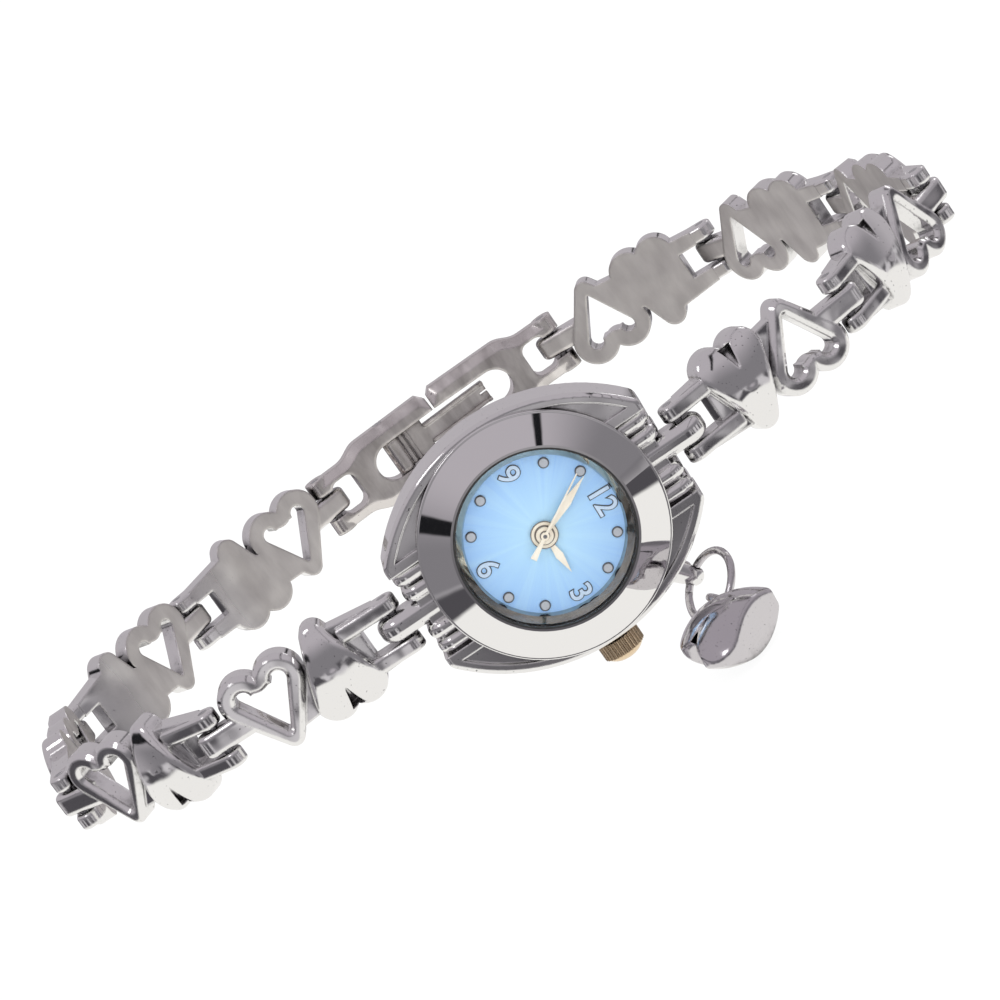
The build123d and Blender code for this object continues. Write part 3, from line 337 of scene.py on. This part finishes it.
castMetal = {
    "bright": (0.84, 0.835, 0.83),
    "gloss": (0.035, 0.085),
    "inside": ((0.66, 0.635, 0.615), (0.79, 0.765, 0.74)),
    "insideGloss": 0.40,
    "insideScale": 900,
    "insideDetail": 5,
    "insideStretch": (1, 1, 0.35),
    "insideFrom": (0.35, 0.65),
    "insideFacing": (0.78, 0.86),
    "loopMiddle": (1.5 * mm, 20 * mm, 0),
    # painted shade: the dark colour the narrow places take, also the colour of the tarnish
    "recess": (0.12, 0.115, 0.118),
    "recessReach": 2.0 * mm,
    "recessFrom": (0.20, 0.68),
    "tarnishScale": 1500,
    "tarnishDetail": 4,
    "tarnishShare": 0.5,
    "waveScale": 300,
    "waveDetail": 0.6,
    "waveHeight": 0.17 * mm,
    "edgeRound": 0.26 * mm,
    "pitScale": 5200,
    "pitDetail": 2,
    "pitFrom": (0.70, 0.75),
    "pitColour": (0.10, 0.10, 0.105),
    "samples": 6,
}
caseMetal = {
    "waveScale": 260,
    "waveHeight": 0.03 * mm,
    # the case gets the same painted shade in its narrow places
    "recessFrom": (0.10, 0.50),
    "recessReach": 1.0 * mm,
    "edgeRound": 0.16 * mm,
}
claspSteel = {
    "bright": (0.74, 0.71, 0.69),
    "inside": ((0.50, 0.475, 0.46), (0.80, 0.77, 0.75)),
    # the clasp gets the same painted shade in its narrow places
    "recess": (0.11, 0.10, 0.098),
    "recessReach": 1.4 * mm,
    "gloss": (0.10, 0.20),
    "insideGloss": 0.30,
    "edgeRound": 0.34 * mm,
}
crownGold = {
    "bright": (0.80, 0.63, 0.43),
    # painted shade in the grooves of the crown's knurl
    "recess": (0.13, 0.09, 0.05),
    "recessReach": 0.30 * mm,
    "recessFrom": (0.45, 0.92),
    "tarnishShare": 0.12,
    "gloss": (0.16, 0.28),
    "waveHeight": 0.003 * mm,
    "edgeRound": 0.04 * mm,
}
charmMetal = {
    "bright": (0.62, 0.60, 0.62),
    "gloss": (0.03, 0.12),
    "waveScale": 650,
    "waveHeight": 0.09 * mm,
    "pitFrom": (0.67, 0.75),
}


def insideMask(tree, place, settings):
    # 1 on the faces that look at the middle of the bracelet's loop
    inward = vectorOf(tree, "SUBTRACT", settings["loopMiddle"], place.outputs["Object"])
    flat = vectorOf(tree, "MULTIPLY", inward, (1, 1, 0))
    unit = vectorOf(tree, "NORMALIZE", flat)
    facing = numberOf(tree, "DOT_PRODUCT", unit, place.outputs["Normal"])
    return rangeOf(tree, facing, 0, 1, *settings["insideFacing"])


def makeCastMetal(name, settings, satinInside):
    material, tree, shader, place = blankMaterial(name)
    wave = noiseOn(tree, place, settings["waveScale"], settings["waveDetail"])
    pitNoise = noiseOn(tree, place, settings["pitScale"], settings["pitDetail"])
    pits = rangeOf(tree, pitNoise, 0, 1, *settings["pitFrom"])
    pitted = mixColours(tree, pits, settings["bright"], settings["pitColour"])
    # painted shade: the occlusion node darkens the narrow places, and random tarnish noise
    # mottles that darkening
    cover = tree.nodes.new("ShaderNodeAmbientOcclusion")
    cover.samples = settings["samples"]
    put(tree, cover.inputs["Distance"], settings["recessReach"])
    share = settings["tarnishShare"]
    tarnish = noiseOn(tree, place, settings["tarnishScale"], settings["tarnishDetail"])
    shadeAndTarnish = calculate(tree, "MULTIPLY_ADD", tarnish, share, cover.outputs["AO"])
    shadeAndTarnish = calculate(tree, "SUBTRACT", shadeAndTarnish, share / 2)
    unshadedAndClean = rangeOf(tree, shadeAndTarnish, 0, 1, *settings["recessFrom"])
    colour = mixColours(tree, unshadedAndClean, settings["recess"], pitted)
    roughness = rangeOf(tree, wave, *settings["gloss"])
    if satinInside:
        mask = insideMask(tree, place, settings)
        detail, stretch = settings["insideDetail"], settings["insideStretch"]
        skinNoise = noiseOn(tree, place, settings["insideScale"], detail, stretch)
        skin = rangeOf(tree, skinNoise, 0, 1, *settings["insideFrom"])
        satin = mixColours(tree, skin, *settings["inside"])
        # the satin inside gets the same painted shade
        satin = mixColours(tree, unshadedAndClean, settings["recess"], satin)
        colour = mixColours(tree, mask, colour, satin)
        mix = tree.nodes.new("ShaderNodeMix")
        put(tree, mix.inputs["Factor"], mask)
        put(tree, mix.inputs["A"], roughness)
        put(tree, mix.inputs["B"], settings["insideGloss"])
        roughness = mix.outputs["Result"]
    setSurface(tree, shader, colour, roughness, 1)
    bump = bumpFrom(tree, shader, wave, 1, settings["waveHeight"])
    # cast edges are soft, so the light runs round them
    soft = tree.nodes.new("ShaderNodeBevel")
    soft.samples = settings["samples"]
    put(tree, soft.inputs["Radius"], settings["edgeRound"])
    put(tree, bump.inputs["Normal"], soft.outputs[0])
    return material


turnedMetal = {"bright": (0.85, 0.845, 0.84), "gloss": (0.015, 0.04), "smearScale": 300}
backSteel = {"bright": (0.66, 0.655, 0.65), "gloss": (0.14, 0.24), "smearScale": 500}


def makeTurnedMetal(name, settings):
    material, tree, shader, place = blankMaterial(name)
    smear = noiseOn(tree, place, settings["smearScale"])
    setSurface(tree, shader, settings["bright"], rangeOf(tree, smear, *settings["gloss"]), 1)
    return material


# two colours, gloss and scale of the grain
plainMetals = {
    "pinSteel": ((0.50, 0.50, 0.51), (0.36, 0.36, 0.37), (0.25, 0.40), 1500),
    "plateBrass": ((0.62, 0.50, 0.28), (0.52, 0.42, 0.24), (0.24, 0.36), 900),
    "coilCopper": ((0.55, 0.26, 0.13), (0.42, 0.20, 0.10), (0.30, 0.45), 3000),
}
solids = {
    "sealRubber": ((0.02, 0.02, 0.02), (0.035, 0.035, 0.035), (0.6, 0.8), 2000),
    "holderPlastic": ((0.75, 0.75, 0.73), (0.68, 0.68, 0.66), (0.4, 0.55), 900),
    "boardGreen": ((0.04, 0.16, 0.08), (0.03, 0.11, 0.06), (0.3, 0.45), 1500),
    # dark edge under the numerals: partly an outline, partly a painted shadow
    "markEdgeAndShadow": ((0.085, 0.08, 0.08), (0.05, 0.05, 0.055), (0.3, 0.5), 2500),
    "markSilver": ((0.62, 0.74, 0.88), (0.52, 0.66, 0.82), (0.20, 0.34), 2500),
}
metalBump = (0.2, 0.005 * mm)
fineBump = (0.2, 0.004 * mm)


def makeGrained(name, first, second, gloss, scale, metallic, bump):
    material, tree, shader, place = blankMaterial(name)
    grain, colour = grainOn(tree, place, scale, first, second)
    setSurface(tree, shader, colour, rangeOf(tree, grain, *gloss), metallic)
    bumpFrom(tree, shader, grain, *bump)
    return material


dialFace = {
    # painted shade at the dial's edge, under the flange
    "deep": (0.345, 0.595, 0.98),
    "pale": (0.52, 0.81, 1.0),
    # lighter rays: painted sheen of the sunburst finish
    "ray": (0.64, 0.90, 1.0),
    "rayDetail": 4,
    "broadScale": 7,
    "broadShare": 0.34,
    "broadFrom": (0.45, 0.8),
    "fineScale": 60,
    "fineShare": 0.14,
    "fineFrom": (0.4, 0.7),
    "bump": (0.25, 0.004 * mm),
    "gloss": 0.34,
    "metal": 0.10,
    "edge": 5.7 * mm,
}


def makeDialFace(name, settings):
    material, tree, shader, place = blankMaterial(name)
    axes = addNode(tree, "ShaderNodeSeparateXYZ", (place.outputs["Object"],)).outputs
    turn = calculate(tree, "ARCTAN2", axes["Z"], axes["X"])
    # noise on a circle, so that the rays close on themselves
    circle = (calculate(tree, "COSINE", turn), calculate(tree, "SINE", turn))
    ring = addNode(tree, "ShaderNodeCombineXYZ", circle).outputs[0]
    broad = noiseFrom(tree, ring, settings["broadScale"], settings["rayDetail"])
    fine = noiseFrom(tree, ring, settings["fineScale"], settings["rayDetail"])
    # darker towards the edge: painted shade under the flange
    out = rangeOf(tree, fromDialMiddle(tree, place), 0, 1, 0, settings["edge"])
    colour = mixColours(tree, out, settings["pale"], settings["deep"])
    # painted sheen: lighter rays across the dial
    broadSheen = rangeOf(tree, broad, 0, settings["broadShare"], *settings["broadFrom"])
    colour = mixColours(tree, broadSheen, colour, settings["ray"])
    fineSheen = rangeOf(tree, fine, 0, settings["fineShare"], *settings["fineFrom"])
    colour = mixColours(tree, fineSheen, colour, settings["ray"])
    setSurface(tree, shader, colour, settings["gloss"], settings["metal"])
    bumpFrom(tree, shader, fine, *settings["bump"])
    return material


dotLook = {
    "middle": (0.66, 0.69, 0.73),
    # rim: a painted shadow round each dot
    "rim": (0.11, 0.11, 0.12),
    "rimFrom": (0.27 * mm, 0.35 * mm),
    "circle": 5.17 * mm,
    "step": 30,
    "gloss": 0.28,
    "metal": 0.45,
    "grainScale": 2500,
}


def makeDotLook(name, settings):
    # every dot is pale in the middle and dark at its rim, where a painted shadow rings it
    material, tree, shader, place = blankMaterial(name)

    def count(operation, *values):
        return calculate(tree, operation, *values)

    def distance(first, second):
        squares = count("ADD", count("MULTIPLY", first, first), count("MULTIPLY", second, second))
        return count("SQRT", squares)

    axes = addNode(tree, "ShaderNodeSeparateXYZ", (place.outputs["Object"],)).outputs
    x, z = axes["X"], axes["Z"]
    turn = count("ARCTAN2", count("MULTIPLY", z, -1), x)
    half = math.radians(settings["step"] / 2)
    offTurn = count("WRAP", count("SUBTRACT", turn, math.radians(dialTurn)), half, -half)
    reach = distance(x, z)
    across = count("MULTIPLY", offTurn, reach)
    outward = count("SUBTRACT", reach, settings["circle"])
    rim = rangeOf(tree, distance(across, outward), 0, 1, *settings["rimFrom"])
    colour = mixColours(tree, rim, settings["middle"], settings["rim"])
    setSurface(tree, shader, colour, settings["gloss"], settings["metal"])
    bumpFrom(tree, shader, noiseOn(tree, place, settings["grainScale"]), *fineBump)
    return material


handLook = {
    "first": (0.94, 0.87, 0.74),
    "second": (0.80, 0.70, 0.55),
    # painted shade where the hubs step
    "ring": (0.20, 0.17, 0.145),
    "grainScale": 900,
    "gloss": (0.25, 0.40),
    "soft": 0.03 * mm,
    "shadeRings": {
        "hourLook": ((0.62 * mm, 0.72 * mm), (0.95 * mm, 1.0 * mm)),
        "minuteLook": ((0.31 * mm, 0.35 * mm),),
        "secondLook": ((0, 0.08 * mm),),
    },
}


def makeHandLook(name, shadeRings, settings):
    # cream, with dark rings of painted shade where the hubs step
    material, tree, shader, place = blankMaterial(name)
    first, second, soft = settings["first"], settings["second"], settings["soft"]
    grain, colour = grainOn(tree, place, settings["grainScale"], first, second)
    reach = fromDialMiddle(tree, place)
    for low, high in shadeRings:
        rise = rangeOf(tree, reach, 0, 1, low - soft, low)
        fall = rangeOf(tree, reach, 1, 0, high, high + soft)
        both = calculate(tree, "MULTIPLY", rise, fall)
        colour = mixColours(tree, both, colour, settings["ring"])
    setSurface(tree, shader, colour, rangeOf(tree, grain, *settings["gloss"]))
    bumpFrom(tree, shader, grain, *fineBump)
    return material


flangeLook = {
    "dark": (0.40, 0.39, 0.35),
    "light": (0.52, 0.51, 0.46),
    "gloss": (0.03, 0.08),
    "grainScale": 900,
}


def makeFlangeLook(name, settings):
    material, tree, shader, place = blankMaterial(name)
    dark, light = settings["dark"], settings["light"]
    grain, colour = grainOn(tree, place, settings["grainScale"], dark, light)
    setSurface(tree, shader, colour, rangeOf(tree, grain, *settings["gloss"]), 1)
    return material


crystalLook = {
    "tint": (0.93, 0.96, 1.0),
    "cover": 0.005,
    "share": 0.35,
    "ior": 1.5,
    "hazeScale": 300,
    "gloss": (0.01, 0.03),
}


def makeCrystalLook(name, settings):
    # a clear pane: it lets light through and shows only its Fresnel gloss
    material, tree, shader, place = blankMaterial(name)
    haze = noiseOn(tree, place, settings["hazeScale"])
    setSurface(tree, shader, settings["tint"], rangeOf(tree, haze, *settings["gloss"]), 1)
    fresnel = addNode(tree, "ShaderNodeFresnel", (settings["ior"],)).outputs[0]
    cover = calculate(tree, "MULTIPLY_ADD", fresnel, settings["share"], settings["cover"])
    put(tree, shader.inputs["Alpha"], cover)
    return material


recipes = {
    "linkMetal": (makeCastMetal, castMetal, True),
    "caseMetal": (makeCastMetal, dict(castMetal, **caseMetal), False),
    "bezelMetal": (makeTurnedMetal, turnedMetal),
    "backSteel": (makeTurnedMetal, backSteel),
    "dialFace": (makeDialFace, dialFace),
    "dotLook": (makeDotLook, dotLook),
    "flangeLook": (makeFlangeLook, flangeLook),
    "claspSteel": (makeCastMetal, dict(castMetal, **claspSteel), True),
    "crownGold": (makeCastMetal, dict(castMetal, **crownGold), False),
    "charmMetal": (makeCastMetal, dict(castMetal, **charmMetal), False),
    "crystalLook": (makeCrystalLook, crystalLook),
}
looks = {}
for lookName, (make, *values) in recipes.items():
    looks[lookName] = make(lookName, *values)
for handName, shadeRings in handLook["shadeRings"].items():
    looks[handName] = makeHandLook(handName, shadeRings, handLook)
for metalName, values in plainMetals.items():
    looks[metalName] = makeGrained(metalName, *values, 1, metalBump)
for solidName, values in solids.items():
    looks[solidName] = makeGrained(solidName, *values, 0, fineBump)
print("materials ready")

sides = ("left", "right")
dressed = {
    "linkMetal": [side + "_link_%d" % n for side in sides for n in range(1, 6)],
    "claspSteel": ["clasp_frame_left", "clasp_frame_right", "clasp_hook"],
    "caseMetal": ["case_body", "charm_post"],
    "charmMetal": ["jump_ring", "heart_charm"],
    "bezelMetal": ["bezel"],
    "backSteel": ["case_back"],
    "crystalLook": ["crystal"],
    "sealRubber": ["case_back_gasket", "crystal_gasket", "crown_gasket"],
    "flangeLook": ["flange_ring"],
    "dialFace": ["dial"],
    "dotLook": ["hour_markers"],
    "hourLook": ["hour_hand"],
    "minuteLook": ["minute_hand"],
    "secondLook": ["second_hand"],
    "crownGold": ["crown"],
    "plateBrass": ["hour_wheel", "main_plate"],
    "coilCopper": ["coil"],
    "holderPlastic": ["movement_holder"],
    "boardGreen": ["circuit_board"],
    "pinSteel": [side + "_pin_%d" % n for side in sides for n in range(1, 7)]
    + ["clasp_hook_pin", "stem", "setting_lever", "battery", "battery_clamp", "stator",
       "rotor", "second_arbor", "cannon_pinion"],
}


def dressNode(name, material):
    node = nodes[name]
    if not node.material_slots:
        node.data.materials.append(material)
    for place in node.material_slots:
        place.material = material


for lookName, names in dressed.items():
    for nodeName in names:
        dressNode(nodeName, looks[lookName])
print("frame dressed")

# numerals at the quarter hours, silver on a dark edge that is partly an outline and partly a
# painted shadow
numerals = {
    "height": 1.62 * mm,
    "capShare": 0.72,  # a numeral's share of its text size
    "hours": {12: 4.72 * mm, 3: 5.0 * mm, 6: 4.72 * mm, 9: 5.0 * mm},
    "hourTurn": 30,
    "thick": 0.10 * mm,
    "edgeThick": 0.05 * mm,
    "edgeWidth": 0.085 * mm,
    "bevel": 0.02 * mm,
}
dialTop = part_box("dial")[0].y


def addNumeral(hour, radius, settings, edge):
    bpy.ops.object.text_add()
    text = bpy.context.object
    text.data.body = str(hour)
    text.data.align_x = "CENTER"
    text.data.align_y = "CENTER"
    text.data.size = settings["height"] / settings["capShare"]
    text.data.extrude = settings["edgeThick" if edge else "thick"] / 2
    if edge:
        text.data.offset = settings["edgeWidth"]
    else:
        text.data.bevel_depth = settings["bevel"]
    lift = text.data.extrude + (0 if edge else settings["bevel"])
    lean = math.radians(dialTurn)
    angle = math.radians(settings["hourTurn"] * hour + dialTurn)
    up = Vector((math.cos(lean), 0, -math.sin(lean)))
    across = Vector((0, 1, 0)).cross(up)
    middle = Vector((math.cos(angle) * radius, dialTop - lift, -math.sin(angle) * radius))
    turned = Matrix((across, up, across.cross(up))).transposed().to_4x4()
    text.matrix_world = Matrix.Translation(middle) @ turned
    selectOnly(text)
    bpy.ops.object.convert(target="MESH")
    numeral = bpy.context.object
    applyPlace(numeral)
    return numeral


for hour, radius in numerals["hours"].items():
    edge = addNumeral(hour, radius, numerals, True)
    finishPiece(edge, "numeralEdge_%d" % hour, "case", looks["markEdgeAndShadow"])
    face = addNumeral(hour, radius, numerals, False)
    finishPiece(face, "numeral_%d" % hour, "case", looks["markSilver"])
print("numerals ready")
